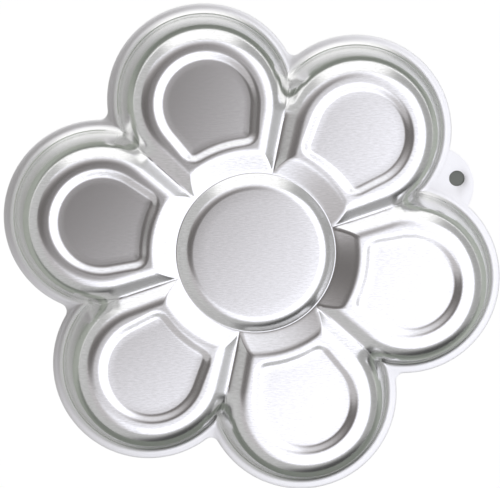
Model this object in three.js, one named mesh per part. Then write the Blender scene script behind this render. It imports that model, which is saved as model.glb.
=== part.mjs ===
// Flower-shaped cake pan, lying on its rim with its base up.
// The pan is one pressed sheet. Its zones are separate solids that meet along the press lines,
// with a hair seam between them. Millimetres and degrees, +Z up, origin under the middle of the flower.

import * as THREE from "three";

// Driving dimensions of the whole pan
const petalCount = 6;
const petalPitch = 94.5; // flower centre to petal centre
const panHeight = 50;
const sheetThickness = 1;
const seamWidth = 0.3; // gap between neighbouring zones

// Rim and hanging tab
const rimRadius = 58.75; // petal centre to the trimmed edge
const rimWidth = 5; // flat strip between the trimmed edge and the fillet at the foot of the wall
const rimNotchRadius = 5; // fillet of the edge between two petals
const tabRadius = 23; // round end of the hanging tab
const tabLength = 21; // bottom of the notch to the outermost point of the tab
const holeDiameter = 9.5;
const holeToTabEdge = 4.2; // metal left between the hole and the end of the tab

// Wall around each petal
const wallDraft = 7;
const wallNotchRadius = 4; // fillet at the foot of the wall between two petals
const leastNotchReach = 1.1; // times half the petal spacing, so that a fillet always bridges two petals
const footRadius = 2; // fillet between rim and wall
const shoulderRadius = 12.5; // fillet between wall and base

// Sides of each petal, where the shoulder runs down to a crease that two petals share
const sideTaper = 28; // each side leans in by this angle towards the flower centre
const creaseRounding = 1.4; // plan distance over which the crease is eased

// Ring groove around the centre boss
const ringRadius = 48; // bottom line of the groove
const ringDepth = 5;
const ringOuterSlope = 12.9; // plan width of the bank on the petal side
const ringInnerSlope = 7.5; // plan width of the bank on the boss side
const ringOuterRounding = 0.8; // depth over which the bank eases into the petal
const ringInnerRounding = 1.6; // depth over which the bank eases into the boss

// Sunk panel in each petal
const panelDepth = 1.5;
const panelSlope = 6.4; // plan width of its bank
const panelRounding = 0.3; // depth over which the bank eases into the border
const panelTaper = 25; // each straight side leans in by this angle towards the flower centre
const outerBorder = 2.5; // flat border between wall and panel
const innerBorder = 3.2; // flat border between ring groove and panel

// Fineness of the facets
const arcStep = 14; // degrees
const shoulderSteps = 4;
const footSteps = 2;
const sideSteps = 5;
const innerArcSteps = 8;
const bossSteps = 36;
const holeSteps = 24;
const bankRows = [0.2, 0.45, 0.75]; // where rows of points cross a bank, as shares of its width from its foot
const borderRow = 0.35; // where a row of points runs along the outer border, as a share of its width
const normalStep = 0.3; // distance over which the slope of the surface is measured

// Sizes that follow from the driving dimensions
const degree = Math.PI / 180;
const halfSector = Math.PI / petalCount;
const halfSpacing = petalPitch * Math.sin(halfSector);
const rimDepth = panHeight - sheetThickness; // upper face of the rim, below the base
const wallTilt = (90 - wallDraft) * degree;
const footEndRadius = rimRadius - rimWidth;
const wallRadius = footEndRadius - footRadius * Math.tan(wallTilt / 2); // to the line where wall and rim meet
const wallTopRadius = wallRadius - rimDepth * Math.tan(wallDraft * degree);
const baseRadius = wallTopRadius - shoulderRadius * Math.tan(wallTilt / 2);
const shoulderEnd = baseRadius + shoulderRadius * Math.sin(wallTilt);
const footStart = footEndRadius - footRadius * Math.sin(wallTilt);
const steepSeam = seamWidth * Math.cos(wallTilt); // a seam across the wall, seen in plan
const panelRadius = baseRadius - outerBorder - panelSlope;
const panelInnerRadius = ringRadius + ringOuterSlope + innerBorder + panelSlope;
const ringOuterEnd = ringRadius + ringOuterSlope * (1 + ringOuterRounding / ringDepth);
const bossRadius = ringRadius - ringInnerSlope;
const bossFlatRadius = ringRadius - ringInnerSlope * (1 + ringInnerRounding / ringDepth);
const petalCentre = new THREE.Vector2(petalPitch, 0);

const aluminium = { color: 0xc6c8c7, metalness: 1, roughness: 0.35 };

// The notch between two petals: a circle that touches both petal circles from outside
function notch(petalRadius, filletRadius) {
  const reach = Math.max(petalRadius + filletRadius, leastNotchReach * halfSpacing);
  const distance = petalPitch * Math.cos(halfSector) + Math.sqrt(reach ** 2 - halfSpacing ** 2);
  const centre = new THREE.Vector2(distance * Math.cos(halfSector), distance * Math.sin(halfSector));
  const petalAngle = centre.clone().sub(petalCentre).angle();
  const bottom = distance - (reach - petalRadius);
  return { centre, reach, petalAngle, bottom };
}

const wallNotch = notch(wallRadius, wallNotchRadius);
const rimNotch = notch(rimRadius, rimNotchRadius);
const tabReach = rimNotch.bottom + tabLength; // flower centre to the outermost point of the tab

// Moves a plan point into the sector of the petal on +X, on the side where y is positive
function foldIntoPetal(x, y) {
  const radius = Math.hypot(x, y);
  const angle = Math.atan2(y, x);
  const folded = Math.abs(angle - Math.round(angle / (2 * halfSector)) * 2 * halfSector);
  return new THREE.Vector2(radius * Math.cos(folded), radius * Math.sin(folded));
}

// Distance from the spoke line that bounds the petal
function spokeDistance(point) {
  return point.x * Math.sin(halfSector) - Math.abs(point.y) * Math.cos(halfSector);
}

// Radius of the horseshoe through a point: an arc round the petal centre that runs on as straight sides
function horseshoeRadius(point, taperAngle) {
  const along = petalPitch - point.x;
  const across = Math.abs(point.y);
  const taper = taperAngle * degree;
  const pastTangent = along * Math.cos(taper) - across * Math.sin(taper) > 0;
  return pastTangent ? along * Math.sin(taper) + across * Math.cos(taper) : Math.hypot(along, across);
}

// Petal radius at a plan point. Between two petals it is carried on round the notch fillet as a parallel
// curve, and along the sides of the petal to the crease on the spoke line.
function petalRadiusAt(point) {
  const alongSide = horseshoeRadius(point, sideTaper);
  const toPetal = petalCentre.clone().sub(wallNotch.centre);
  const toPoint = point.clone().sub(wallNotch.centre);
  const beyondPetalArc = toPetal.cross(toPoint) < 0;
  if (!beyondPetalArc) return alongSide;
  const toSpoke = spokeDistance(point);
  const easing = Math.hypot(toSpoke, creaseRounding) - toSpoke;
  const roundNotch = wallNotch.reach - toPoint.length();
  return Math.max(roundNotch, Math.min(alongSide - easing, shoulderEnd));
}

// How far the wall lies below the base at a petal radius
function wallDepth(radius) {
  if (radius <= baseRadius) return 0;
  if (radius <= shoulderEnd) {
    return shoulderRadius - Math.sqrt(shoulderRadius ** 2 - (radius - baseRadius) ** 2);
  }
  if (radius <= footStart) return (radius - wallTopRadius) * Math.tan(wallTilt);
  if (radius <= footEndRadius) {
    return rimDepth - footRadius + Math.sqrt(footRadius ** 2 - (footEndRadius - radius) ** 2);
  }
  return rimDepth;
}

// A straight bank that runs out into the flat base through a short curve
function bankDepth(distance, width, depth, rounding) {
  const straight = depth * (1 - distance / width);
  if (straight <= -rounding) return 0;
  if (straight >= rounding) return straight;
  return (straight + rounding) ** 2 / (4 * rounding);
}

// Distance outside the floor of the sunk panel
function panelDistance(point) {
  const outside = horseshoeRadius(point, panelTaper) - panelRadius;
  return Math.max(outside, panelInnerRadius - point.length());
}

// Depth of the pressed relief below the base, measured on the outer face of the sheet
function reliefDepth(x, y) {
  const point = foldIntoPetal(x, y);
  const radius = point.length();
  if (radius < ringRadius) {
    return bankDepth(ringRadius - radius, ringInnerSlope, ringDepth, ringInnerRounding);
  }
  const wall = wallDepth(petalRadiusAt(point));
  const ring = bankDepth(radius - ringRadius, ringOuterSlope, ringDepth, ringOuterRounding);
  const panel = bankDepth(Math.max(panelDistance(point), 0), panelSlope, panelDepth, panelRounding);
  return Math.max(wall, ring, panel);
}

// The two faces of the sheet above one plan point
function sheetFaces(point) {
  const { x, y } = point;
  const outer = new THREE.Vector3(x, y, panHeight - reliefDepth(x, y));
  const slopeX = reliefDepth(x + normalStep, y) - reliefDepth(x - normalStep, y);
  const slopeY = reliefDepth(x, y + normalStep) - reliefDepth(x, y - normalStep);
  const normal = new THREE.Vector3(slopeX, slopeY, 2 * normalStep).normalize();
  const inner = outer.clone().addScaledVector(normal, -sheetThickness);
  return { outer, inner };
}

// A closed solid of sheet over rows of plan points.
// Rows run outwards and points within a row run anticlockwise. A ring joins each row's end to its start,
// and a covered ring has no hole inside its first row.
function sheetSolid(rows, { ring = false, middle = null } = {}) {
  const columns = rows[0].length;
  const faces = rows.flat().map(sheetFaces);
  const positions = faces.flatMap((pair) => pair.outer.toArray());
  positions.push(...faces.flatMap((pair) => pair.inner.toArray()));
  const innerStart = faces.length;
  const top = (row, column) => row * columns + (column % columns);
  const under = (row, column) => innerStart + top(row, column);
  const triangles = [];
  const quad = (a, b, c, d) => triangles.push(a, b, c, a, c, d);

  const lastRow = rows.length - 1;
  const spans = ring ? columns : columns - 1;
  for (let column = 0; column < spans; column += 1) {
    const next = column + 1;
    for (let row = 0; row < lastRow; row += 1) {
      quad(top(row, column), top(row + 1, column), top(row + 1, next), top(row, next));
      quad(under(row, column), under(row, next), under(row + 1, next), under(row + 1, column));
    }
    quad(top(lastRow, column), under(lastRow, column), under(lastRow, next), top(lastRow, next));
    if (!middle) quad(top(0, column), top(0, next), under(0, next), under(0, column));
  }
  if (!ring) {
    const end = columns - 1;
    for (let row = 0; row < lastRow; row += 1) {
      quad(top(row, 0), under(row, 0), under(row + 1, 0), top(row + 1, 0));
      quad(top(row, end), top(row + 1, end), under(row + 1, end), under(row, end));
    }
  }
  if (middle) {
    const { outer, inner } = sheetFaces(middle);
    const outerMiddle = positions.length / 3;
    const innerMiddle = outerMiddle + 1;
    positions.push(...outer.toArray(), ...inner.toArray());
    for (let column = 0; column < columns; column += 1) {
      triangles.push(outerMiddle, top(0, column), top(0, column + 1));
      triangles.push(innerMiddle, under(0, column + 1), under(0, column));
    }
  }
  const geometry = new THREE.BufferGeometry();
  geometry.setAttribute("position", new THREE.Float32BufferAttribute(positions, 3));
  geometry.setIndex(triangles);
  geometry.computeVertexNormals();
  return geometry;
}

// Evenly spaced values, both ends included
function spread(start, end, steps) {
  return Array.from({ length: steps + 1 }, (_, index) => start + ((end - start) * index) / steps);
}

function arcPoints(centre, radius, start, end, steps) {
  return spread(start, end, steps).map(
    (angle) => new THREE.Vector2(centre.x + radius * Math.cos(angle), centre.y + radius * Math.sin(angle)),
  );
}

function linePoints(start, end, steps) {
  return spread(0, 1, steps).map((share) => start.clone().lerp(end, share));
}

function arcSteps(angle) {
  return Math.max(1, Math.ceil(Math.abs(angle) / (arcStep * degree)));
}

const mirrored = (points) => points.map((point) => new THREE.Vector2(point.x, -point.y)).reverse();

// Shifts a point sideways until it stands clear of both spoke lines
function keepOffSpoke(point, clearance) {
  const lack = Math.max(0, clearance - spokeDistance(point));
  const side = Math.sign(point.y);
  return new THREE.Vector2(
    point.x + lack * Math.sin(halfSector),
    point.y - side * lack * Math.cos(halfSector),
  );
}

// Half of the petal's outline at one petal radius, from the petal axis, or an angle off it, to the spoke line
function outlineHalf(radius, clearance, between = wallNotch, startAngle = 0) {
  const petalAngle = between.petalAngle;
  const petalArc = arcPoints(petalCentre, radius, startAngle, petalAngle, arcSteps(petalAngle - startAngle));
  const notchStart = petalAngle + Math.PI;
  const notchEnd = halfSector + Math.PI;
  const notchSteps = arcSteps(notchEnd - notchStart);
  const notchArc = arcPoints(between.centre, between.reach - radius, notchStart, notchEnd, notchSteps);
  const half = [...petalArc, ...notchArc.slice(1)];
  return half.map((point) => keepOffSpoke(point, clearance));
}

// The whole outline, anticlockwise from one spoke line to the other
function outline(radius, clearance) {
  const half = outlineHalf(radius, clearance);
  return [...mirrored(half.slice(1)), ...half];
}

// A strip of sheet round the petal, with a row of points at each of these petal radii
function outlineStrip(radii) {
  return sheetSolid(radii.map((radius) => outline(radius, seamWidth / 2)));
}

function shoulderGeometry() {
  const tilts = spread(0, wallTilt, shoulderSteps).slice(1, -1);
  const curve = tilts.map((tilt) => baseRadius + shoulderRadius * Math.sin(tilt));
  return outlineStrip([baseRadius + seamWidth / 2, ...curve, shoulderEnd - steepSeam / 2]);
}

function wallGeometry() {
  const tilts = spread(wallTilt, 0, footSteps).slice(0, -1);
  const foot = tilts.map((tilt) => footEndRadius - footRadius * Math.sin(tilt));
  return outlineStrip([shoulderEnd + steepSeam / 2, ...foot, footEndRadius - seamWidth / 2]);
}

// Closes an outline of the petal with two sides along the spokes and an arc round the flower centre.
// Anticlockwise, from the middle of the petal's outer end.
function petalLoop(outerHalf, innerCorner) {
  const side = linePoints(outerHalf[outerHalf.length - 1], innerCorner, sideSteps);
  const innerAngle = innerCorner.angle();
  const innerArc = arcPoints(new THREE.Vector2(), innerCorner.length(), innerAngle, 0, innerArcSteps / 2);
  const half = [...outerHalf, ...side.slice(1), ...innerArc.slice(1)];
  return [...half, ...mirrored(half).slice(1, -1)];
}

// Where a line parallel to the spoke crosses a circle round the flower centre
function spokeCorner(radius, clearance) {
  const angle = halfSector - Math.asin(clearance / radius);
  return new THREE.Vector2(radius * Math.cos(angle), radius * Math.sin(angle));
}

// A horseshoe round the petal centre, closed by an arc round the flower centre.
// It has as many points as the petal's outline, at the same angles up to the notch.
function horseshoeLoop(radius, taperAngle, innerRadius) {
  const taper = taperAngle * degree;
  const { petalAngle } = wallNotch;
  const roundSteps = arcSteps(petalAngle);
  const bendSteps = outlineHalf(baseRadius, 0).length - 1 - roundSteps;
  const round = arcPoints(petalCentre, radius, 0, petalAngle, roundSteps);
  const bend = arcPoints(petalCentre, radius, petalAngle, Math.PI / 2 + taper, bendSteps);
  const sideFromCentre = petalPitch * Math.sin(taper) - radius;
  const cornerAngle = taper - Math.asin(sideFromCentre / innerRadius);
  const corner = new THREE.Vector2(innerRadius * Math.cos(cornerAngle), innerRadius * Math.sin(cornerAngle));
  return petalLoop([...round, ...bend.slice(1)], corner);
}

// Outline of the panel at a distance outside its floor
function panelLoop(distance) {
  return horseshoeLoop(panelRadius + distance, panelTaper, panelInnerRadius - distance);
}

// The flat border of a petal with its sides down to the crease and its bank of the ring groove
function baseGeometry() {
  const edge = seamWidth / 2;
  const groove = petalLoop(outlineHalf(baseRadius - edge, edge), spokeCorner(ringRadius + edge, edge));
  const border = horseshoeLoop(baseRadius - borderRow * outerBorder, sideTaper, ringOuterEnd);
  const onBank = (share) => groove.map((point, index) => point.clone().lerp(border[index], share));
  const rows = [groove, ...bankRows.map(onBank), border, panelLoop(panelSlope + edge)];
  return sheetSolid(rows.reverse(), { ring: true });
}

function panelGeometry() {
  const rows = [panelLoop(0), panelLoop(panelSlope - seamWidth / 2)];
  return sheetSolid(rows, { ring: true, middle: petalCentre });
}

function bossGeometry() {
  const bank = bankRows.map((share) => ringRadius - share * ringInnerSlope);
  const radii = [ringRadius - seamWidth / 2, ...bank, bossRadius, bossFlatRadius];
  const circle = (radius) => arcPoints(new THREE.Vector2(), radius, 0, 2 * Math.PI, bossSteps).slice(0, -1);
  return sheetSolid(radii.reverse().map(circle), { ring: true, middle: new THREE.Vector2() });
}

// Where two circles cross, on the left of the line from the first centre to the second
function circleCrossing(centreA, radiusA, centreB, radiusB) {
  const across = centreB.clone().sub(centreA);
  const distance = across.length();
  const along = (radiusA ** 2 - radiusB ** 2 + distance ** 2) / (2 * distance);
  const aside = Math.sqrt(Math.max(0, radiusA ** 2 - along ** 2));
  const angle = across.angle() + Math.atan2(aside, along);
  return new THREE.Vector2(centreA.x + radiusA * Math.cos(angle), centreA.y + radiusA * Math.sin(angle));
}

// The hanging tab, in the notch between the first two petals, whose edges its round end meets at corners
function hangingTab() {
  const centre = spokeCorner(tabReach - tabRadius, 0);
  const corner = circleCrossing(centre, tabRadius, petalCentre, rimRadius);
  const halfSpread = centre.angleTo(corner.clone().sub(centre));
  const petalAngle = corner.clone().sub(petalCentre).angle();
  return { centre, halfSpread, petalAngle };
}

const tab = hangingTab();

// A flat piece of the rim, lying on the ground plane
function rimPlate(edge, holes = []) {
  const shape = new THREE.Shape(edge);
  shape.holes.push(...holes.map((points) => new THREE.Path(points)));
  return new THREE.ExtrudeGeometry(shape, { depth: sheetThickness, bevelEnabled: false });
}

// Half of a rim edge that stops a seam short of the hanging tab
function halfToTab(radius) {
  const angle = tab.petalAngle - Math.asin(seamWidth / radius);
  return arcPoints(petalCentre, radius, 0, angle, arcSteps(angle));
}

// The strip of rim round one petal. The tab lies after the petal on side 1, before it on side -1.
function rimGeometry(tabSide) {
  const gap = seamWidth / 2;
  const half = (radius, between, byTab) => (byTab ? halfToTab(radius) : outlineHalf(radius, gap, between));
  const edge = (radius, between) => [
    ...mirrored(half(radius, between, tabSide === -1).slice(1)),
    ...half(radius, between, tabSide === 1),
  ];
  const trimmed = edge(rimRadius, rimNotch);
  const foot = edge(footEndRadius + gap, wallNotch);
  return rimPlate([...trimmed, ...foot.reverse()]);
}

// The same points on the other side of the spoke line after the first petal, in reverse order
function acrossSpoke(points) {
  const turn = 2 * halfSector;
  return mirrored(points).map((point) => point.rotateAround(new THREE.Vector2(), turn));
}

// The hanging tab, with the piece of rim that carries it
function tabGeometry() {
  const footHalf = outlineHalf(footEndRadius + seamWidth / 2, 0, wallNotch, tab.petalAngle);
  const foot = [...footHalf, ...acrossSpoke(footHalf).slice(1)];
  const left = halfSector + tab.halfSpread;
  const right = halfSector - tab.halfSpread;
  const end = arcPoints(tab.centre, tabRadius, left, right, 2 * arcSteps(tab.halfSpread));
  const holeCentre = spokeCorner(tabReach - holeToTabEdge - holeDiameter / 2, 0);
  const hole = arcPoints(holeCentre, holeDiameter / 2, 0, 2 * Math.PI, holeSteps).slice(1);
  return rimPlate([...foot, ...end], [hole]);
}

function namedMesh(name, geometry, turn = 0) {
  const mesh = new THREE.Mesh(geometry, new THREE.MeshStandardMaterial(aluminium));
  mesh.name = name;
  mesh.rotation.z = turn;
  return mesh;
}

const pan = new THREE.Group();
pan.name = "flower_cake_pan";
pan.add(namedMesh("centre_boss", bossGeometry()));
pan.add(namedMesh("hanging_tab", tabGeometry()));
for (let petal = 0; petal < petalCount; petal += 1) {
  const turn = 2 * halfSector * petal;
  const label = `petal_${petal + 1}`;
  const tabSide = [1, -1][petal] ?? 0;
  pan.add(namedMesh(`${label}_rim`, rimGeometry(tabSide), turn));
  pan.add(namedMesh(`${label}_wall`, wallGeometry(), turn));
  pan.add(namedMesh(`${label}_shoulder`, shoulderGeometry(), turn));
  pan.add(namedMesh(`${label}_base`, baseGeometry(), turn));
  pan.add(namedMesh(`${label}_panel`, panelGeometry(), turn));
}

export default pan;
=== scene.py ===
# %% [markdown]
# # A flower-shaped cake pan
#
# The pan is one sheet of bright aluminium, pressed between two dies: six round petals about a round
# centre, a steep wall, a flat rim, and a tab to hang it by. The photograph shows it from outside, base
# up, lying on its rim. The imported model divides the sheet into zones. They could be dressed one by one,
# but the real sheet has no seams, so here the zones become one sheet again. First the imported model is
# loaded as the frame that everything is measured against.

# %% The frame
import math

import bmesh
import bpy
from mathutils import Matrix, Vector


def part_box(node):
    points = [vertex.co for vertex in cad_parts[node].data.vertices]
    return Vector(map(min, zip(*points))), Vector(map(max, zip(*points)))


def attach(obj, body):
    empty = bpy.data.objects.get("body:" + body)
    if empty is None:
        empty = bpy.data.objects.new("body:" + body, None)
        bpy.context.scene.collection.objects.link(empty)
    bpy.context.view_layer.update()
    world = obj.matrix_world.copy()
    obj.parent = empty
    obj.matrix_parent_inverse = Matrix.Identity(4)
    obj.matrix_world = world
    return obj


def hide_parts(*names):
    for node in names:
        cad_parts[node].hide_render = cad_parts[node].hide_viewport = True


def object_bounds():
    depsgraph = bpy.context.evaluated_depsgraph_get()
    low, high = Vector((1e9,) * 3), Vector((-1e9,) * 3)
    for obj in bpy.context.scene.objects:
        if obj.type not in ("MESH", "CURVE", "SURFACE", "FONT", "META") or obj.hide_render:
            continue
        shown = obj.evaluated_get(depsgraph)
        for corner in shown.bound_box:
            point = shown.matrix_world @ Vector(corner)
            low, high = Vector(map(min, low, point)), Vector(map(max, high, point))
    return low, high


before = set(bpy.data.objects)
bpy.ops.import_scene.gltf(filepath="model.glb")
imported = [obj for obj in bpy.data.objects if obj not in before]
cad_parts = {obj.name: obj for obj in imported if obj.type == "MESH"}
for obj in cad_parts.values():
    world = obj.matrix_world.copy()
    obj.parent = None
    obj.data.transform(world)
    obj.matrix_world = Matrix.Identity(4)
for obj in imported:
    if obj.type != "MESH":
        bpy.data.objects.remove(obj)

cad_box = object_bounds()


def rounded(box):
    """The corners of a box as numbers short enough to print."""
    return [tuple(round(value, 4) for value in corner) for corner in box]


print("zones of the packed pan:", len(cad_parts))
print("its box in metres:", rounded(cad_box))

# %% [markdown]
# ## The camera
#
# The pan was photographed from almost straight above with a long lens. The camera leans about five
# degrees towards the upper left of the picture, which shows a little more wall on that side. The
# picture's horizontal runs 11.5 degrees from +X. The pan could be turned to suit it, but the pan has to
# stay where the frame has it, so the camera is rolled instead.

# %% The camera
MM = 0.001
image_width = 500
sensor_width = 36  # in millimetres, as the lens is
camera_distance = 3500 * MM
camera_lean = math.radians(5.46)
camera_side = math.radians(132.9)
picture_turn = math.radians(11.48)
pixel_size = 0.6041 * MM  # at the point that the camera aims at
aim_point = Vector((-3.25, 3.0, 25)) * MM

towards_camera = Vector((
    math.sin(camera_lean) * math.cos(camera_side),
    math.sin(camera_lean) * math.sin(camera_side),
    math.cos(camera_lean),
))
horizontal = Vector((math.cos(picture_turn), math.sin(picture_turn), 0))
across = (horizontal - towards_camera * horizontal.dot(towards_camera)).normalized()
upward = towards_camera.cross(across)

bpy.ops.object.select_all(action="DESELECT")
bpy.ops.object.camera_add()
camera = bpy.context.object
camera.name = "camera"
camera.data.sensor_width = sensor_width
camera.data.lens = sensor_width * camera_distance / (pixel_size * image_width)
camera.matrix_world = Matrix((across, upward, towards_camera)).transposed().to_4x4()
camera.location = aim_point + towards_camera * camera_distance
bpy.context.scene.camera = camera
print("lens in millimetres:", round(camera.data.lens))

# %% [markdown]
# ## Sizes of the pan
#
# Seen from a petal's centre outwards, a pressed pan has a flat base, a round shoulder, a wall that
# leans so that the pan comes off its die, a fillet at the wall's foot, and a narrow rim. The height,
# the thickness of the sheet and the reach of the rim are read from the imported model, so that the sheet
# keeps its size. The radii at which one form ends and the next begins could be typed in too, but worked
# out from the bends they always fit together.

# %% Sizes
petal_count = 6
half_sector = math.pi / petal_count
pan_height = cad_box[1].z
sheet_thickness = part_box("hanging_tab")[1].z
petal_pitch = 94.5 * MM  # flower's centre to a petal's centre
petal_centre = Vector((petal_pitch, 0))
box_clearance = 0.25 * MM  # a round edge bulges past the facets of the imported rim
rim_radius = cad_box[1].x - petal_pitch - box_clearance
rim_width = 2.35 * MM
rim_drop = 0.4 * MM  # the trimmed edge is turned slightly down
wall_draft = math.radians(7)
foot_radius = 5 * MM
shoulder_radius = 12.5 * MM

edge_depth = pan_height - sheet_thickness
rim_depth = edge_depth - rim_drop
wall_tilt = math.pi / 2 - wall_draft
foot_end = rim_radius - rim_width
foot_start = foot_end - foot_radius * math.sin(wall_tilt)
wall_bottom = foot_end - foot_radius * math.tan(wall_tilt / 2)
wall_top = wall_bottom - rim_depth * math.tan(wall_draft)
base_radius = wall_top - shoulder_radius * math.tan(wall_tilt / 2)
shoulder_end = base_radius + shoulder_radius * math.sin(wall_tilt)


def in_mm(length):
    """A length in millimetres, short enough to print."""
    return round(length / MM, 2)


print("radius of a petal's flat base:", in_mm(base_radius), "mm, and of its rim:", in_mm(rim_radius), "mm")

# %% [markdown]
# ## The relief of the die
#
# Every point of the sheet drops from the plane of the base by the depth of the die under it. The relief
# could be sculpted, or cut from a solid, but bright metal shows every uneven bend. So each form gets a
# formula for its depth, and where forms meet, the deepest one holds. The petal on +X stands for all,
# because the other five are copies. The first form is the groove that rings the flower's centre. Its
# banks run straight between a rounded crest and a rounded root, because a dead sharp edge would split
# the sheet.

# %% The ring groove
ring_radius = 48 * MM
ring_outer_slope = 15 * MM
ring_outer_crest = 8 * MM
ring_inner_slope = 10.3 * MM
ring_inner_crest = 10.5 * MM
groove_depth = 5 * MM
groove_root = 0.6 * MM


def bank_depth(distance, slope, crest):
    """Depth at a distance from the groove's bottom line: a round crest, a straight bank, a small root."""
    run = slope - groove_root
    inward = run - (math.hypot(distance, groove_root) - groove_root)
    if inward <= 0:
        return 0.0
    below_crest = crest - groove_depth
    lean = math.asin(crest / math.hypot(run, below_crest)) - math.atan2(below_crest, run)
    if inward < crest * math.sin(lean):
        return crest - math.sqrt(crest ** 2 - inward ** 2)
    return crest * (1 - math.cos(lean)) + (inward - crest * math.sin(lean)) * math.tan(lean)


print("ring groove:", in_mm(bank_depth(0, ring_inner_slope, ring_inner_crest)), "mm deep")

# %% [markdown]
# ## The sides of a petal
#
# The round shoulder runs all round a petal. Between two petals a straight bank below it goes down to a
# crease, and further out the bank steepens until it is the wall, so that two walls meet in a sharp
# notch. The shoulder could simply be carried on down to the crease, but such steep round banks mirror
# each other in many thin lines. A straight bank that leans about 30 degrees or less mirrors only the
# room, as one plain facet.

# %% Where a point lies on a side
side_taper = math.radians(28)
crease_root = 0.85 * MM
crease_root_at_ring = 0.4 * MM
crease_run_in = 12 * MM  # from the ring, over which the crease's lean and root change
crease_end = 86 * MM  # from the flower's centre, where the bank begins to steepen
spoke_line = Vector((math.cos(half_sector), math.sin(half_sector)))
crease_middle = spoke_line * (ring_radius + crease_end) / 2


def limited(value):
    """A value held between 0 and 1."""
    return min(1.0, max(0.0, value))


def past_ring(point):
    """How far a point is along the run-in of a crease: 0 at the ring, and 1 from its end on."""
    return limited((point.length - ring_radius) / crease_run_in)


def tapered_radius(point, taper):
    """Distance from the petal's centre, or past its widest place from the side of a horseshoe outline."""
    along = petal_pitch - point.x
    aside = abs(point.y)
    if along * math.cos(taper) > aside * math.sin(taper):
        return along * math.sin(taper) + aside * math.cos(taper)
    return math.hypot(along, aside)


def side_radius_at(point):
    """Tapered radius on a petal's side, held back beside the crease to give it a small round root."""
    to_spoke = point.x * math.sin(half_sector) - abs(point.y) * math.cos(half_sector)
    root = crease_root_at_ring + past_ring(point) * (crease_root - crease_root_at_ring)
    easing = math.hypot(to_spoke, root) - abs(to_spoke)
    return tapered_radius(point, side_taper) - easing


print("root of a crease:", in_mm(crease_root_at_ring), "mm at the ring, then", in_mm(crease_root), "mm")

# %% Depth of a side
side_lean = math.radians(26)
side_lean_at_ring = math.radians(33)
notch_start = 104 * MM  # from the flower's centre, where the bank has become the wall


def bank_lean(point):
    """How far the bank leans below the shoulder: a little more at the ring, and a wall in the notch."""
    past_crease = limited((point.length - crease_end) / (notch_start - crease_end))
    into_wall = past_crease ** 2 * (3 - 2 * past_crease)
    lean = side_lean_at_ring + past_ring(point) * (side_lean - side_lean_at_ring)
    return lean + into_wall * (wall_tilt - lean)


def side_depth(point):
    """Depth of a petal's side: the round shoulder, a straight bank or wall, the foot and the rim."""
    radius = side_radius_at(point)
    lean = bank_lean(point)
    past_base = radius - base_radius
    past_round = past_base - shoulder_radius * math.sin(lean)
    if past_base <= 0:
        return 0.0
    if past_round <= 0:
        return shoulder_radius - math.sqrt(shoulder_radius ** 2 - past_base ** 2)
    if radius <= foot_start:
        return shoulder_radius * (1 - math.cos(lean)) + past_round * math.tan(lean)
    if radius < foot_end:
        return rim_depth - foot_radius + math.sqrt(foot_radius ** 2 - (foot_end - radius) ** 2)
    return rim_depth


print("crease between two petals:", in_mm(side_depth(crease_middle)), "mm deep at its middle")

# %% [markdown]
# ## The panels
#
# The floor of each panel is sunk a little into the petal, in the outline of a horseshoe with rounded
# corners. It could be an inset and a bevel, but its bank has to be as soft as the photograph's, so it
# is a formula like the other forms: a straight bank between two equal bends. Then all forms come
# together.

# %% The panels
panel_depth = 1.7 * MM
panel_slope = 6.4 * MM
panel_bend = 5.5 * MM
panel_radius = 26.0 * MM
panel_taper = math.radians(21.5)
panel_inner_radius = 70.5 * MM  # flower's centre to the inner end of the floor
panel_corner = 2 * MM


def panel_depth_at(distance):
    """Depth of the sunk panel at a distance outside its floor."""
    rise = 2 * panel_bend - panel_depth
    lean = math.asin(2 * panel_bend / math.hypot(panel_slope, rise)) - math.atan2(rise, panel_slope)
    bend_width = panel_bend * math.sin(lean)
    bend_height = panel_bend * (1 - math.cos(lean))
    if distance <= 0:
        return panel_depth
    if distance < bend_width:
        return panel_depth - panel_bend + math.sqrt(panel_bend ** 2 - distance ** 2)
    if distance < panel_slope - bend_width:
        return panel_depth - bend_height - (distance - bend_width) * math.tan(lean)
    if distance < panel_slope:
        return panel_bend - math.sqrt(panel_bend ** 2 - (panel_slope - distance) ** 2)
    return 0.0


def panel_distance(point):
    """Distance outside the floor of the panel, with its two inner corners rounded."""
    past_side = tapered_radius(point, panel_taper) - panel_radius + panel_corner
    past_end = panel_inner_radius - point.length + panel_corner
    if past_side > 0 and past_end > 0:
        return math.hypot(past_side, past_end) - panel_corner
    return max(past_side, past_end) - panel_corner


print("half-way up its bank a panel is", in_mm(panel_depth_at(panel_slope / 2)), "mm deep")

# %% The whole relief
def relief_depth(point):
    """Depth of the die under a point of the plan: the deepest of the forms that meet there."""
    radius = point.length
    if radius < ring_radius:
        return bank_depth(ring_radius - radius, ring_inner_slope, ring_inner_crest)
    ring = bank_depth(radius - ring_radius, ring_outer_slope, ring_outer_crest)
    return max(side_depth(point), ring, panel_depth_at(panel_distance(point)))


def on_die(point):
    """The place on the die at a point of the plan."""
    return Vector((point.x, point.y, pan_height - relief_depth(point)))


print("rim lies", in_mm(relief_depth(Vector((rim_radius + petal_pitch, 0)))), "mm below the base")

# %% [markdown]
# ## Lines across a petal
#
# A plain grid could be pressed to these depths, but its squares would cut across the bends and break
# the reflections. So the sheet is grown outwards from the floor of a petal's panel, one line of points
# after another. Each line has the same number of points, called stations, and a point keeps its number
# from line to line, so that the faces run along the banks and corners stay corners. Half a line is an
# outer arc, a side, a corner and an inner end. The other half is its mirror image.

# %% Stations and curves
arc_steps = 40
side_steps = 12
corner_steps = 4
inner_steps = 8
half_corner = corner_steps // 2
half_steps = arc_steps + side_steps + corner_steps + inner_steps
station_count = 2 * half_steps
arc_crowding = 1.5  # power that crowds the points of an arc towards the notch


def spread(start, end, steps):
    """Evenly spaced values from start to end."""
    return [start + (end - start) * index / steps for index in range(steps + 1)]


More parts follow.
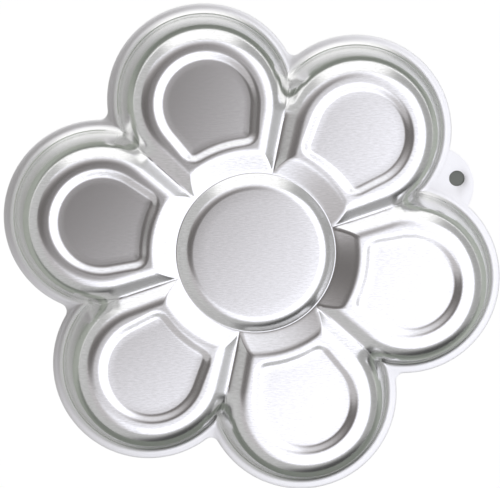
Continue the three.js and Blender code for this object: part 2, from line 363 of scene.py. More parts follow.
def turned(angle):
    """The direction at an angle from +X in the plan."""
    return Vector((math.cos(angle), math.sin(angle)))


def petal_arc(radius, end):
    """An arc about the petal's centre from its axis, with points that crowd towards the end."""
    angles = [end * (1 - (1 - share) ** arc_crowding) for share in spread(0, 1, arc_steps)]
    return [petal_centre + radius * turned(angle) for angle in angles]


def side_corner(radius, taper, inner_radius):
    """Where the side of a horseshoe outline meets a circle about the flower's centre."""
    offset = petal_pitch * math.sin(taper) - radius
    return inner_radius * turned(taper - math.asin(offset / inner_radius))


def whole(half):
    """A half and its mirror image, anticlockwise from the petal's outer end."""
    return half + [Vector((point.x, -point.y)) for point in reversed(half[1:-1])]


def between(first, last, shares):
    """Lines at these shares of the way from the first line to the last."""
    return [[start.lerp(end, share) for start, end in zip(first, last)] for share in shares]


print("stations on each line:", station_count)

# %% Lines on the panel
panel_steps = 10
floor_shares = (0.3, 0.6, 0.85)
floor_middle_share = 0.985  # of the way from the flower's centre to the petal's
floor_middle = Vector((petal_pitch * floor_middle_share, 0))


def panel_line(distance):
    """The line round a panel at a distance outside the edge of its floor, with rounded inner corners."""
    radius = panel_radius + distance
    outer = petal_arc(radius, math.pi / 2 + panel_taper)
    corner = side_corner(radius, panel_taper, panel_inner_radius - distance)
    along_side = (corner - outer[-1]).normalized()
    along_end = Vector((corner.y, -corner.x)).normalized()
    cut = (panel_corner + distance) * math.tan(along_side.angle(along_end) / 2)
    start = corner - along_side * cut
    end_angle = math.atan2(corner.y, corner.x) - cut / corner.length
    end = corner.length * turned(end_angle)
    side = [outer[-1].lerp(start, share) for share in spread(0, 1, side_steps)]
    bend = [
        start.lerp(corner, share).lerp(corner.lerp(end, share), share)
        for share in spread(0, 1, corner_steps)
    ]
    inner = [corner.length * turned(angle) for angle in spread(end_angle, 0, inner_steps)]
    return whole(outer + side[1:] + bend[1:] + inner[1:])


panel_lines = [panel_line(distance) for distance in spread(0, panel_slope, panel_steps)]
floor_lines = between([floor_middle] * station_count, panel_lines[0], floor_shares)
print("lines on a panel's floor and bank:", len(floor_lines + panel_lines))

# %% Points along a side
crease_lag = 1.4  # power that lets points slide along the crease only as they come near it
half_spacing = petal_pitch * math.sin(half_sector)
spoke_inwards = Vector((math.sin(half_sector), -math.cos(half_sector)))


def meeting_angle(radius):
    """Where a circle about the petal's centre meets the spoke line, seen from that centre."""
    return half_sector + math.pi / 2 - math.acos(min(1.0, half_spacing / radius))


widest_angle = math.pi / 2 + side_taper
crest_start = petal_centre + base_radius * turned(widest_angle)
crest_corner = side_corner(base_radius, side_taper, ring_radius + ring_outer_slope)
crease_start = petal_centre + shoulder_end * turned(meeting_angle(shoulder_end))


def side_points(share):
    """Points along a petal's side at a share of the way from its crest to the crease."""
    crease_reach = crease_start.dot(spoke_line)
    points = []
    for part in spread(0, 1, side_steps + half_corner)[1:-1]:
        crest = crest_start.lerp(crest_corner, part)
        crest_along = crest.dot(spoke_line)
        crease_along = crease_reach + part * (ring_radius - crease_reach)
        along = crest_along + (crease_along - crest_along) * share ** crease_lag
        aside = (1 - share) * crest.dot(spoke_inwards)
        points.append(along * spoke_line + aside * spoke_inwards)
    return points


print("crease:", in_mm(crease_start.dot(spoke_line) - ring_radius), "mm long")

# %% Lines down to the creases and the ring
bank_steps = 16
border_shares = (0.33, 0.67)
least_mitre_share = 0.5  # of the crest's distance from the spoke, where the search for a mitre begins
search_halvings = 40


def mitre_at(radius, share):
    """Where, at a radius from the flower's centre, the side is as deep as the outer bank of the ring."""
    ring = bank_depth(radius - ring_radius, ring_outer_slope, ring_outer_crest)
    least = least_mitre_share * (1 - share) * crest_corner.dot(spoke_inwards)
    near, far = math.asin(least / radius), half_sector
    for _ in range(search_halvings):
        middle = (near + far) / 2
        deeper = side_depth(radius * turned(half_sector - middle)) > ring
        near, far = (middle, far) if deeper else (near, middle)
    return radius * turned(half_sector - near)


def bank_line(share):
    """The line round a petal at a share of the way from its crest to the creases that bound it."""
    radius = base_radius + share * (shoulder_end - base_radius)
    outer = petal_arc(radius, widest_angle + share * (meeting_angle(shoulder_end) - widest_angle))
    ring = ring_radius + (1 - share) * ring_outer_slope
    mitre = crest_corner.lerp(ring_radius * spoke_line, share)
    if 0 < share < 1:
        mitre = mitre_at(ring, share)
    corner_angle = math.atan2(mitre.y, mitre.x)
    inner = [ring * turned(angle) for angle in spread(corner_angle, 0, half_corner + inner_steps)]
    return whole(outer + side_points(share) + [mitre] + inner[1:])


bank_shares = [math.sin(tilt) / math.sin(wall_tilt) for tilt in spread(0, wall_tilt, bank_steps)]
bank_lines = [bank_line(share) for share in bank_shares]
border_lines = between(panel_lines[-1], bank_lines[0], border_shares)
petal_lines = floor_lines + panel_lines + border_lines + bank_lines
print("lines from a panel's floor to the creases and the ring:", len(petal_lines))

# %% [markdown]
# ## One petal
#
# On the real pan a petal is drawn out of the flat sheet in one stroke. Here a filled circle is the
# start. Its edge is laid on the first line, and is then extruded again and again, each new edge laid on
# the next line of the die. The mesh could be written out as a list of points and faces, but extruding
# shows how the sheet grows. A number stored on every vertex tells which station it belongs to, and an
# extruded vertex inherits it.

# %% A numbered circle
start_radius = 1 * MM


def add_numbered_circle(name, stations, centre):
    """A filled circle in edit mode whose edge vertices carry their station numbers."""
    bpy.ops.object.select_all(action="DESELECT")
    bpy.ops.mesh.primitive_circle_add(
        vertices=stations, radius=start_radius, fill_type="TRIFAN", location=centre
    )
    bpy.ops.object.transform_apply(location=True, rotation=True, scale=True)
    piece = bpy.context.object
    piece.name = name
    bpy.ops.object.mode_set(mode="EDIT")
    bpy.ops.mesh.select_mode(type="EDGE")
    mesh = bmesh.from_edit_mesh(piece.data)
    station = mesh.verts.layers.int.new("station")
    edge_vertices = [vertex for vertex in mesh.verts if vertex.is_boundary]
    for vertex in mesh.verts:
        vertex[station] = -1
    middle = Vector(centre[:2])
    along_x = Vector((1, 0))
    edge_vertices.sort(key=lambda vertex: (vertex.co.xy - middle).angle_signed(along_x) % math.tau)
    for number, vertex in enumerate(edge_vertices):
        vertex[station] = number
    bmesh.update_edit_mesh(piece.data)
    return piece


pan = add_numbered_circle("pan_sheet", station_count, (floor_middle.x, 0, pan_height - panel_depth))
print("vertices of the first circle:", len(bmesh.from_edit_mesh(pan.data).verts))

# %% From the panel to the creases
def select_outer_edge(piece, stations):
    """Selects the edges of the open border that join two of these stations."""
    bpy.ops.mesh.select_all(action="DESELECT")
    mesh = bmesh.from_edit_mesh(piece.data)
    station = mesh.verts.layers.int["station"]
    for edge in mesh.edges:
        if edge.is_boundary and all(vertex[station] in stations for vertex in edge.verts):
            edge.select = True
    mesh.select_flush_mode()
    bmesh.update_edit_mesh(piece.data)


def lay_selected(piece, places):
    """Puts each selected vertex on the place of its station."""
    mesh = bmesh.from_edit_mesh(piece.data)
    station = mesh.verts.layers.int["station"]
    for vertex in mesh.verts:
        if vertex.select:
            vertex.co = places[vertex[station]]
    bmesh.update_edit_mesh(piece.data)


def grow(piece, places):
    """Extrudes the selected edges and lays the new edge on these places."""
    bpy.ops.mesh.extrude_edges_indiv()
    lay_selected(piece, places)


all_stations = set(range(station_count))
select_outer_edge(pan, all_stations)
lay_selected(pan, [on_die(point) for point in petal_lines[0]])
for line in petal_lines[1:]:
    grow(pan, [on_die(point) for point in line])
print("faces up to the creases:", len(bmesh.from_edit_mesh(pan.data).faces))

# %% [markdown]
# ## Wall, foot and rim
#
# Beyond the creases only the outer arc goes on: down the wall, round the fillet at its foot and out
# along the narrow rim. The walls of two petals meet sharply on the spoke. The edge could follow them,
# but a sharp inner corner tears when the sheet is trimmed, so the real edge turns through a small
# fillet in each notch, and this one does too.

# %% Wall, foot and rim
wall_steps = 8
foot_steps = 8
rim_steps = 6
notch_steps = 10
rim_notch_radius = 5 * MM


def notched_outline(radius, fillet):
    """Half of the trimmed edge: round the petal, then round the fillet between two petals."""
    beyond_petals = math.sqrt((radius + fillet) ** 2 - half_spacing ** 2)
    middle = spoke_line * (petal_pitch * math.cos(half_sector) + beyond_petals)
    to_middle = middle - petal_centre
    meeting = math.atan2(to_middle.y, to_middle.x)
    petal_angles = spread(0, meeting, arc_steps - notch_steps)
    fillet_angles = spread(meeting + math.pi, half_sector + math.pi, notch_steps)
    petal_part = [petal_centre + radius * turned(angle) for angle in petal_angles]
    return petal_part + [middle + fillet * turned(angle) for angle in fillet_angles[1:]]


def outer_line(half):
    """A whole line from its outer arc alone. The stations that have stopped growing get a blank point."""
    return whole(half + [Vector((0, 0))] * (half_steps - arc_steps))


outer_stations = {number for number in all_stations if min(number, station_count - number) <= arc_steps}
select_outer_edge(pan, outer_stations)
wall_radii = spread(shoulder_end, foot_start, wall_steps)[1:]
foot_radii = [foot_end - foot_radius * math.sin(tilt) for tilt in spread(wall_tilt, 0, foot_steps)[1:]]
for radius in wall_radii + foot_radii:
    grow(pan, [on_die(point) for point in outer_line(petal_arc(radius, meeting_angle(radius)))])

rim_start = petal_arc(foot_end, meeting_angle(foot_end))
rim_edge = notched_outline(rim_radius, rim_notch_radius)
rim_shares = spread(0, 1, rim_steps)[1:]
for share, half in zip(rim_shares, between(rim_start, rim_edge, rim_shares)):
    rim_height = pan_height - (rim_depth + rim_drop * share ** 2)
    grow(pan, [Vector((point.x, point.y, rim_height)) for point in outer_line(half)])
print("faces of one petal:", len(bmesh.from_edit_mesh(pan.data).faces))

# %% [markdown]
# ## Six petals and the centre
#
# The petals are alike, so they could be an array of linked copies, but the sheet has to be one mesh.
# Spin makes the other five in it, a sixth of a turn apart. The round centre is grown in the same way as
# a petal, from its middle to the bottom of the ring groove, with its points where the petals have
# theirs. Merging what lies in the same place makes one sheet of it all.

# %% Six petals
bpy.ops.mesh.select_all(action="SELECT")
bpy.ops.mesh.spin(
    steps=petal_count - 1,
    dupli=True,
    angle=2 * half_sector * (petal_count - 1),
    center=(0, 0, 0),
    axis=(0, 0, 1),
)
bpy.ops.object.mode_set(mode="OBJECT")
print("faces of six petals:", len(pan.data.polygons))

# %% The centre
centre_stations = 2 * (half_corner + inner_steps) * petal_count
flat_radius = ring_radius - ring_inner_slope
flat_shares = (0.2, 0.4, 0.6, 0.8)
bank_parts = spread(1, 0.3, 10)  # parts of the inner bank that are still to go, closer in the root
root_parts = [0.2, 0.13, 0.07, 0.03, 0.0]
centre_radii = [flat_radius * share for share in flat_shares]
centre_radii += [ring_radius - part * ring_inner_slope for part in bank_parts + root_parts]


def centre_circle(radius):
    """Places round the flower's centre on the inner bank of the ring groove."""
    height = pan_height - bank_depth(ring_radius - radius, ring_inner_slope, ring_inner_crest)
    points = [radius * turned(angle) for angle in spread(0, math.tau, centre_stations)[:-1]]
    return [Vector((point.x, point.y, height)) for point in points]


centre_sheet = add_numbered_circle("centre_sheet", centre_stations, (0, 0, pan_height))
select_outer_edge(centre_sheet, set(range(centre_stations)))
lay_selected(centre_sheet, centre_circle(centre_radii[0]))
for radius in centre_radii[1:]:
    grow(centre_sheet, centre_circle(radius))
bpy.ops.object.mode_set(mode="OBJECT")
print("radius of the centre's flat disc:", in_mm(flat_radius), "mm")

# %% One sheet
merge_distance = 0.02 * MM

bpy.ops.object.select_all(action="DESELECT")
centre_sheet.select_set(True)
pan.select_set(True)
bpy.context.view_layer.objects.active = pan
bpy.ops.object.join()
bpy.ops.object.mode_set(mode="EDIT")
bpy.ops.mesh.select_all(action="SELECT")
bpy.ops.mesh.remove_doubles(threshold=merge_distance)
open_edges = sum(edge.is_boundary for edge in bmesh.from_edit_mesh(pan.data).edges)
print("edges on the open border, which is the trimmed rim alone:", open_edges)

# %% [markdown]
# ## The hanging tab
#
# The tab is a tongue of the rim, left standing in the notch after the first petal when the sheet is
# trimmed, with a punched hole. It could be a plate of its own, but it would need a seam. So its round
# end is one vertex of the rim, copied and spun about the tab's centre, its hole is a circle, and fill
# closes what lies between these and the notch.

# %% Hanging tab
tab_radius = 23 * MM
tab_length = 21 * MM  # from the bottom of the notch
tab_steps = 32
hole_radius = 4.75 * MM
hole_to_edge = 4.2 * MM
hole_steps = 48
touching = 0.01 * MM
rim_level = pan_height - edge_depth

tab_reach = rim_edge[-1].length + tab_length
tab_centre = spoke_line * (tab_reach - tab_radius)
hole_centre = spoke_line * (tab_reach - hole_to_edge - hole_radius)
tab_corner = min(rim_edge, key=lambda point: abs((point - tab_centre).length - tab_radius))
corner_arm = tab_corner - tab_centre
half_turn = math.acos(corner_arm.dot(spoke_line) / corner_arm.length)
print("tab corner misses the round end by", in_mm(corner_arm.length - tab_radius), "mm")

# %% Round end, hole and fill
def select_where(piece, wanted):
    """Selects the vertices that pass a test, and the edges between them."""
    bpy.ops.mesh.select_mode(type="VERT")
    bpy.ops.mesh.select_all(action="DESELECT")
    mesh = bmesh.from_edit_mesh(piece.data)
    for vertex in mesh.verts:
        vertex.select = wanted(vertex)
    mesh.select_flush_mode()
    bmesh.update_edit_mesh(piece.data)


def on_tab_corner(vertex):
    """Whether a vertex is the one of the rim's edge where the tab begins."""
    return vertex.is_boundary and (vertex.co.xy - tab_corner).length < touching


def round_the_tab(vertex):
    """Whether a vertex is on the tab's round end, on its hole, or on the notch between them."""
    within = (vertex.co.xy - tab_centre).length < corner_arm.length + touching
    return within and (vertex.is_boundary or vertex.is_wire)


select_where(pan, on_tab_corner)
bpy.ops.mesh.duplicate()
bpy.ops.mesh.spin(
    steps=tab_steps,
    angle=-2 * half_turn,
    center=(tab_centre.x, tab_centre.y, rim_level),
    axis=(0, 0, 1),
)
bpy.ops.mesh.primitive_circle_add(
    vertices=hole_steps,
    radius=hole_radius,
    fill_type="NOTHING",
    location=(hole_centre.x, hole_centre.y, rim_level),
)
bpy.ops.mesh.select_all(action="SELECT")
bpy.ops.mesh.remove_doubles(threshold=touching)
select_where(pan, round_the_tab)
bpy.ops.mesh.fill(use_beauty=True)
loose_edges = sum(edge.is_wire for edge in bmesh.from_edit_mesh(pan.data).edges)
print("edges left without a face:", loose_edges)

# %% [markdown]
# ## Thickness
#
# So far the sheet is only its outer face. An inner face could be grown on a smaller die, but Solidify
# gives the thickness of the real sheet at once, inwards, so that the outside stays where the die put
# it. A narrow bevel then takes the razor edge off the trimmed rim, the tab and the hole, where a real
# cut edge is broken too and catches a thin line of light.

# %% Faces outwards
bpy.ops.mesh.select_all(action="SELECT")
bpy.ops.mesh.normals_make_consistent(inside=False)
if sum(face.normal.z for face in bmesh.from_edit_mesh(pan.data).faces) < 0:
    bpy.ops.mesh.flip_normals()
bpy.ops.object.mode_set(mode="OBJECT")
upward_faces = sum(face.normal.z > 0 for face in pan.data.polygons)
print("faces that point up:", upward_faces, "of", len(pan.data.polygons))

# %% Thickness
edge_break = 0.2 * MM
sharp_angle = math.radians(60)

thicken = pan.modifiers.new("thickness", "SOLIDIFY")
thicken.thickness = sheet_thickness
thicken.offset = -1
bpy.ops.object.modifier_apply(modifier=thicken.name)
soften = pan.modifiers.new("broken_edge", "BEVEL")
soften.width = edge_break
soften.segments = 2
soften.limit_method = "ANGLE"
soften.angle_limit = sharp_angle
bpy.ops.object.modifier_apply(modifier=soften.name)
bpy.ops.object.shade_smooth_by_angle(angle=sharp_angle)
pan.data.attributes.remove(pan.data.attributes["station"])
print("triangles of the sheet:", sum(len(face.vertices) - 2 for face in pan.data.polygons))

# %% [markdown]
# ## Bright pressed aluminium
#
# The pan is cold-rolled aluminium sheet, pressed and left bright. Rolling leaves fine streaks, all in
# one direction across the whole sheet, because it was rolled before it was pressed. They could be a
# picture laid on the sheet, but noise that is drawn out along the rolling direction has no repeats and
# needs no map. On the walls the press stretched the metal smooth, so there the streaks fade out, and
# the rim, which the press clamped, is a little more matt.

# %% Colours and nodes
def linear(code):
    """An sRGB hex colour as the linear colour that shaders use."""
    shades = [int(code[place:place + 2], 16) / 255 for place in (1, 3, 5)]
    return [
        shade / 12.92 if shade <= 0.04045 else ((shade + 0.055) / 1.055) ** 2.4 for shade in shades
    ] + [1]


def add_node(tree, kind, inputs=None, **settings):
    """Adds a node with its settings, and sets each named input to a value or links it to an output."""
    node = tree.nodes.new(kind)
    for name, value in settings.items():
        setattr(node, name, value)
    for name, value in (inputs or {}).items():
        if isinstance(value, bpy.types.NodeSocket):
            tree.links.new(value, node.inputs[name])
        else:
            node.inputs[name].default_value = value
    return node


print("mid grey in linear light:", round(linear("#808080")[0], 3))

# %% Streaks of the rolled sheet
# Real streaks are a few hundredths of a millimetre wide, too fine to show. They are drawn about as wide as
# one pixel of the picture, the finest that shows.
streak_width = 0.7 * MM
streak_length = 3.5 * MM
stretched_below = 40 * MM
rolled_above = 46 * MM
even_tone = 0.5  # of the stretched walls, half-way between dark and bright streaks

aluminium = bpy.data.materials.new("bright_pressed_aluminium")
aluminium.use_nodes = True
sheet_tree = aluminium.node_tree
sheet_tree.nodes.clear()
sheet_place = add_node(sheet_tree, "ShaderNodeTexCoord").outputs["Object"]
along_roll = add_node(
    sheet_tree,
    "ShaderNodeMapping",
    {"Vector": sheet_place, "Rotation": (0, 0, picture_turn), "Scale": (streak_length, streak_width, 1)},
    vector_type="TEXTURE",
)
streaks = add_node(
    sheet_tree,
    "ShaderNodeTexNoise",
    {"Vector": along_roll.outputs["Vector"], "Scale": 1.0, "Detail": 3.0, "Roughness": 0.6},
)
height = add_node(sheet_tree, "ShaderNodeSeparateXYZ", {"Vector": sheet_place}).outputs["Z"]
on_base = add_node(
    sheet_tree,
    "ShaderNodeMapRange",
    {"Value": height, "From Min": stretched_below, "From Max": rolled_above},
)
streak_tone = add_node(
    sheet_tree,
    "ShaderNodeMapRange",
    {"Value": streaks.outputs["Fac"], "From Min": 0.3, "From Max": 0.7},
)
tone = add_node(
    sheet_tree,
    "ShaderNodeMix",
    {"Factor": on_base.outputs["Result"], "A": even_tone, "B": streak_tone.outputs["Result"]},
)
print("streaks:", in_mm(streak_length), "by", in_mm(streak_width), "mm")

# %% Colour, gloss and relief of the sheet
# Bare aluminium mirrors softly and has next to no colour of its own, so what the eye sees is the light, the
# dark and the table round it. A bright streak is also a smoother one.
sheet_roughness = 0.23
streak_polish = 0.06
rim_matting = 0.24
rim_top = 1.2 * MM
rim_matting_end = 3 * MM  # up the foot of the wall
streak_relief = 0.03
streak_height = 0.2 * MM

colour = add_node(
    sheet_tree,
    "ShaderNodeMixRGB",
    {"Fac": tone.outputs["Result"], "Color1": linear("#ededec"), "Color2": linear("#fdfdfd")},
)
plain_roughness = add_node(
    sheet_tree,
    "ShaderNodeMapRange",
    {
        "Value": height,
        "From Min": rim_top,
        "From Max": rim_matting_end,
        "To Min": sheet_roughness + rim_matting,
        "To Max": sheet_roughness,
    },
)
roughness = add_node(
    sheet_tree,
    "ShaderNodeMath",
    {0: tone.outputs["Result"], 1: -streak_polish, 2: plain_roughness.outputs["Result"]},
    operation="MULTIPLY_ADD",
)
relief_strength = add_node(
    sheet_tree, "ShaderNodeMath", {0: on_base.outputs["Result"], 1: streak_relief}, operation="MULTIPLY"
)
streak_bump = add_node(
    sheet_tree,
    "ShaderNodeBump",
    {
        "Height": streaks.outputs["Fac"],
        "Strength": relief_strength.outputs["Value"],
        "Distance": streak_height,
    },
)
metal = add_node(
    sheet_tree,
    "ShaderNodeBsdfPrincipled",
    {
        "Base Color": colour.outputs["Color"],
        "Metallic": 1.0,
        "Roughness": roughness.outputs["Value"],
        "Normal": streak_bump.outputs["Normal"],
    },
)
add_node(sheet_tree, "ShaderNodeOutputMaterial", {"Surface": metal.outputs["BSDF"]})
print("nodes of the metal:", len(sheet_tree.nodes))

# %% The sheet in the frame
pan.data.materials.clear()
pan.data.materials.append(aluminium)
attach(pan, "root")
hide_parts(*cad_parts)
print("the sheet stands for", len(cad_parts), "zones")

# %% [markdown]
# ## The table
#
# The photograph's background is plain white, yet the steep walls and the hanging hole show a grey-green
# table. A grey-green floor would colour the background too. So the floor is white paper, and a
# grey-green card lies on it round the pan, where only the metal sees it, as a photographer lays a card
# to give bright metal its edges. The card is darker towards the picture's top and bottom: painted shade
# on the table near the pan. A small piece of darker card shows in the hanging hole: painted shade of the
# table under the tab.

# %% White floor
floor_radius = 4.0  # in metres, as all places on the stage are
floor_level = -0.6 * MM
disc_steps = 96
paper_glow = 1.18  # times the share below a strength of 1, which shows as white
glow_share = 0.85


def add_disc(name, radius, centre):
    """A flat round sheet on the stage."""
    bpy.ops.object.select_all(action="DESELECT")
    bpy.ops.mesh.primitive_circle_add(
        vertices=disc_steps, radius=radius, fill_type="NGON", location=centre
    )
    disc = bpy.context.object
    disc.name = name
    return disc


floor = add_disc("floor", floor_radius, (0, 0, floor_level))
paper = bpy.data.materials.new("white_paper")
paper.use_nodes = True
paper_tree = paper.node_tree
paper_tree.nodes.clear()
ray = add_node(paper_tree, "ShaderNodeLightPath").outputs
matt = add_node(paper_tree, "ShaderNodeBsdfDiffuse", {"Color": linear("#f4f4f4")})
glow = add_node(paper_tree, "ShaderNodeEmission", {"Color": (1, 1, 1, 1), "Strength": paper_glow})
seen = add_node(
    paper_tree, "ShaderNodeMath", {0: ray["Is Camera Ray"], 1: ray["Is Glossy Ray"]}, operation="MAXIMUM"
)
glowing = add_node(
    paper_tree, "ShaderNodeMath", {0: seen.outputs["Value"], 1: glow_share}, operation="MULTIPLY"
)
mixed = add_node(
    paper_tree,
    "ShaderNodeMixShader",
    {0: glowing.outputs["Value"], 1: matt.outputs["BSDF"], 2: glow.outputs["Emission"]},
)
add_node(paper_tree, "ShaderNodeOutputMaterial", {"Surface": mixed.outputs["Shader"]})
floor.data.materials.append(paper)
print("floor lies", in_mm(-floor_level), "mm under the rim")

# %% Grey-green card
card_radius = 2.0
card_reach = 0.3  # how far it goes past the flower's centre, towards the picture's top
card_level = -0.3 * MM
chip_level = -0.15 * MM
card_roughness = 0.8
card_green = "#c3c9bd"
# painted shade on the table near the pan: towards the picture's top and bottom the card turns to this
# darker green
painted_shade_green = "#8b9186"
painted_shade_start = 0.09  # from the flower's centre, up or down in the picture
painted_shade_end = 0.16


def image_direction(right, up):
    """A level direction given by how far it goes right and up in the picture."""
    cosine = math.cos(picture_turn)
    sine = math.sin(picture_turn)
    return (right * cosine - up * sine, right * sine + up * cosine, 0)


def card_material(name, colour):
    """Matt card of one colour."""
    material = bpy.data.materials.new(name)
    material.use_nodes = True
    shader = material.node_tree.nodes["Principled BSDF"]
    shader.inputs["Base Color"].default_value = linear(colour)
    shader.inputs["Roughness"].default_value = card_roughness
    return material


card_centre = Vector(image_direction(0, card_reach - card_radius)) + Vector((0, 0, card_level))
card = add_disc("grey_green_card", card_radius, card_centre)
card.visible_camera = False
card_paper = card_material("grey_green_card", card_green)
card_tree = card_paper.node_tree
card_place = add_node(card_tree, "ShaderNodeTexCoord").outputs["Object"]
card_height = add_node(
    card_tree, "ShaderNodeVectorMath", {0: card_place, 1: image_direction(0, 1)}, operation="DOT_PRODUCT"
)
above_flower = add_node(
    card_tree,
    "ShaderNodeMath",
    {0: card_height.outputs["Value"], 1: card_radius - card_reach},
    operation="SUBTRACT",
)
off_flower = add_node(card_tree, "ShaderNodeMath", {0: above_flower.outputs["Value"]}, operation="ABSOLUTE")
# painted shade: the card darkens between these two distances, up or down from the flower's centre
painted_shade_share = add_node(
    card_tree,
    "ShaderNodeMapRange",
    {"Value": off_flower.outputs["Value"], "From Min": painted_shade_start, "From Max": painted_shade_end},
)
card_colour = add_node(
    card_tree,
    "ShaderNodeMixRGB",
    {
        "Fac": painted_shade_share.outputs["Result"],
        "Color1": linear(card_green),
        "Color2": linear(painted_shade_green),
    },
)
card_shader = card_tree.nodes["Principled BSDF"]
card_tree.links.new(card_colour.outputs["Color"], card_shader.inputs["Base Color"])
card.data.materials.append(card_paper)
# the small piece under the hole is darker than the card: painted shade of the table under the tab
chip = add_disc("card_under_hole", 2 * hole_radius, (hole_centre.x, hole_centre.y, chip_level))
chip.data.materials.append(card_material("card_with_painted_shade", "#82857f"))
print("card and its small piece lie", in_mm(-card_level), "and", in_mm(-chip_level), "mm under the rim")

# %% [markdown]
# ## The light
#
# Bright metal shows the lamp more than it shows itself. A bare lamp would be a hot spot, so a large
# soft box hangs over the pan. Its cloth isn't equally bright: one corner is dark, which gives the two
# dark petals at the picture's upper left, and at the very top it is bright again. The dark part is a
# little warm and the bright part a little cool.

# %% Soft box
light_height = 0.8
box_width = 1.63
box_length = 1.4
box_middle = (0.065, -0.1)  # right and up in the picture

bpy.ops.object.select_all(action="DESELECT")
bpy.ops.mesh.primitive_plane_add(size=1)
soft_box = bpy.context.object
soft_box.name = "soft_box"
soft_box.scale = (box_width, box_length, 1)
soft_box.rotation_euler.z = picture_turn
soft_box.location = Vector(image_direction(*box_middle)) + Vector((0, 0, light_height))
bpy.ops.object.transform_apply(location=True, rotation=True, scale=True)
soft_box.visible_camera = False
print("soft box:", box_width, "by", box_length, "m,", light_height, "m over the floor")

# %% Dark corner of the cloth
full_strength = 1.35
shade_middle = Vector(image_direction(-0.38, 0.24)) + Vector((0, 0, light_height))
shade_radius = 0.4
shade_edge = 0.62
shade_strength = 0.12
left_end = -0.36  # right of the flower's centre in the picture, so these two lie on its left
left_start = -0.05
left_strength = 0.55

cloth = bpy.data.materials.new("soft_box_cloth")
cloth.use_nodes = True
cloth_tree = cloth.node_tree
cloth_tree.nodes.clear()
cloth_place = add_node(cloth_tree, "ShaderNodeTexCoord").outputs["Object"]
from_shade = add_node(
    cloth_tree, "ShaderNodeVectorMath", {0: cloth_place, 1: shade_middle}, operation="DISTANCE"
)
rightward = add_node(
    cloth_tree, "ShaderNodeVectorMath", {0: cloth_place, 1: image_direction(1, 0)}, operation="DOT_PRODUCT"
)
shade_fade = add_node(
    cloth_tree,
    "ShaderNodeMapRange",
    {
        "Value": from_shade.outputs["Value"],
        "From Min": shade_radius,
        "From Max": shade_edge,
        "To Min": shade_strength,
        "To Max": full_strength,
    },
)
left_fade = add_node(
    cloth_tree,
    "ShaderNodeMapRange",
    {
        "Value": rightward.outputs["Value"],
        "From Min": left_end,
        "From Max": left_start,
        "To Min": left_strength,
        "To Max": full_strength,
    },
)
darker = add_node(
    cloth_tree,
    "ShaderNodeMath",
    {0: shade_fade.outputs["Result"], 1: left_fade.outputs["Result"]},
    operation="MINIMUM",
)
print("cloth's strength: from", shade_strength, "in the dark corner to", full_strength)

# %% Bright top of the cloth
top_end = 0.6  # above the flower's centre in the picture
top_power = 2.2
top_least_strength = 0.13
top_strength = 1.3

topward = add_node(
    cloth_tree, "ShaderNodeVectorMath", {0: cloth_place, 1: image_direction(0, 1)}, operation="DOT_PRODUCT"
)
top_share = add_node(
    cloth_tree,
    "ShaderNodeMapRange",
    {"Value": topward.outputs["Value"], "From Min": 0.0, "From Max": top_end},
)
top_curve = add_node(
    cloth_tree, "ShaderNodeMath", {0: top_share.outputs["Result"], 1: top_power}, operation="POWER"
)
top_fade = add_node(
    cloth_tree,
    "ShaderNodeMapRange",
    {"Value": top_curve.outputs["Value"], "To Min": top_least_strength, "To Max": top_strength},
)
cloth_strength = add_node(
    cloth_tree,
    "ShaderNodeMath",
    {0: darker.outputs["Value"], 1: top_fade.outputs["Result"]},
    operation="MAXIMUM",
)
print("cloth's least strength at the picture's top:", top_strength)

# %% Tint of the cloth
tint = add_node(
    cloth_tree,
    "ShaderNodeMixRGB",
    {"Fac": cloth_strength.outputs["Value"], "Color1": linear("#fff6f2"), "Color2": linear("#f7f7ff")},
    use_clamp=True,
)
shine = add_node(
    cloth_tree,
    "ShaderNodeEmission",
    {"Color": tint.outputs["Color"], "Strength": cloth_strength.outputs["Value"]},
)
add_node(cloth_tree, "ShaderNodeOutputMaterial", {"Surface": shine.outputs["Emission"]})
soft_box.data.materials.append(cloth)
print("nodes of the cloth:", len(cloth_tree.nodes))

# %% [markdown]
# ## The room
#
# Banks and shoulders lean, so they look past the soft box into the room, and the room decides how they
# look. An even grey world would leave them flat. This one has walls that are brighter on the left, a
# dark side towards the picture's bottom, a little to the right, and a low window towards its top. The
# camera itself sees the world as plain white.

# %% Window of the room
window_bearing = (-0.05, 1.0)  # right and up in the picture
window_edge = 0.76  # cosines of the angle from the window's middle
window_full = 0.93
window_strength = 0.7
window_top = 0.45  # level part of a direction, which is 0 straight up and 1 at the horizon
window_bright = 0.7

world = bpy.data.worlds.new("soft_studio")
bpy.context.scene.world = world
world.use_nodes = True
room_tree = world.node_tree
room_tree.nodes.clear()
direction = add_node(room_tree, "ShaderNodeTexCoord").outputs["Generated"]
level_part = add_node(
    room_tree, "ShaderNodeVectorMath", {0: direction, 1: (1, 1, 0)}, operation="MULTIPLY"
).outputs["Vector"]
bearing = add_node(room_tree, "ShaderNodeVectorMath", {0: level_part}, operation="NORMALIZE")
lowness = add_node(room_tree, "ShaderNodeVectorMath", {0: level_part}, operation="LENGTH")
to_window = add_node(
    room_tree,
    "ShaderNodeVectorMath",
    {0: bearing.outputs["Vector"], 1: image_direction(*window_bearing)},
    operation="DOT_PRODUCT",
)
window_across = add_node(
    room_tree,
    "ShaderNodeMapRange",
    {
        "Value": to_window.outputs["Value"],
        "From Min": window_edge,
        "From Max": window_full,
        "To Min": 0.0,
        "To Max": window_strength,
    },
    interpolation_type="SMOOTHSTEP",
)
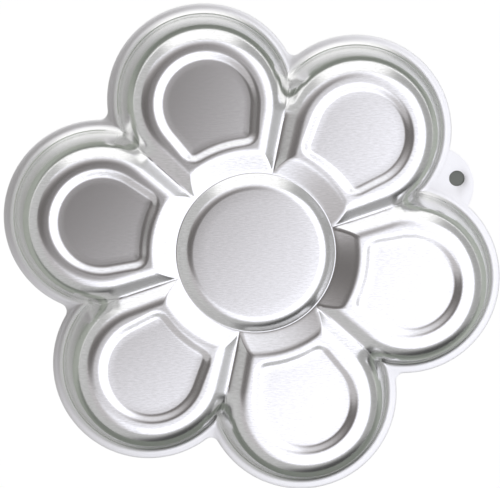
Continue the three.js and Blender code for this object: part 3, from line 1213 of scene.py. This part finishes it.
window_down = add_node(
    room_tree,
    "ShaderNodeMapRange",
    {"Value": lowness.outputs["Value"], "From Min": window_top, "From Max": window_bright},
    interpolation_type="SMOOTHSTEP",
)
window = add_node(
    room_tree,
    "ShaderNodeMath",
    {0: window_across.outputs["Result"], 1: window_down.outputs["Result"]},
    operation="MULTIPLY",
)
print("window adds", window_strength, "at most")

# %% Walls of the room
dark_bearing = (0.37, -0.93)  # right and up in the picture
dark_edge = 0.74  # cosines of the angle from the dark side's middle
dark_full = 0.96
dark_share = 0.16
right_wall_strength = 0.38
left_wall_strength = 0.56

to_dark = add_node(
    room_tree,
    "ShaderNodeVectorMath",
    {0: direction, 1: image_direction(*dark_bearing)},
    operation="DOT_PRODUCT",
)
dark = add_node(
    room_tree,
    "ShaderNodeMapRange",
    {
        "Value": to_dark.outputs["Value"],
        "From Min": dark_edge,
        "From Max": dark_full,
        "To Min": 1.0,
        "To Max": dark_share,
    },
    interpolation_type="SMOOTHSTEP",
)
to_left = add_node(
    room_tree, "ShaderNodeVectorMath", {0: direction, 1: image_direction(-1, 0)}, operation="DOT_PRODUCT"
)
walls = add_node(
    room_tree,
    "ShaderNodeMapRange",
    {
        "Value": to_left.outputs["Value"],
        "From Min": -1.0,
        "From Max": 1.0,
        "To Min": right_wall_strength,
        "To Max": left_wall_strength,
    },
)
room = add_node(
    room_tree,
    "ShaderNodeMath",
    {0: walls.outputs["Result"], 1: dark.outputs["Result"], 2: window.outputs["Value"]},
    operation="MULTIPLY_ADD",
)
to_camera = add_node(room_tree, "ShaderNodeLightPath").outputs["Is Camera Ray"]
strength = add_node(room_tree, "ShaderNodeMix", {"Factor": to_camera, "A": room.outputs["Value"], "B": 1.0})
sky = add_node(
    room_tree, "ShaderNodeBackground", {"Color": (1, 1, 1, 1), "Strength": strength.outputs["Result"]}
)
add_node(room_tree, "ShaderNodeOutputWorld", {"Surface": sky.outputs["Background"]})
bpy.context.scene.view_settings.view_transform = "Standard"
print("walls of the room: from", right_wall_strength, "to", left_wall_strength)
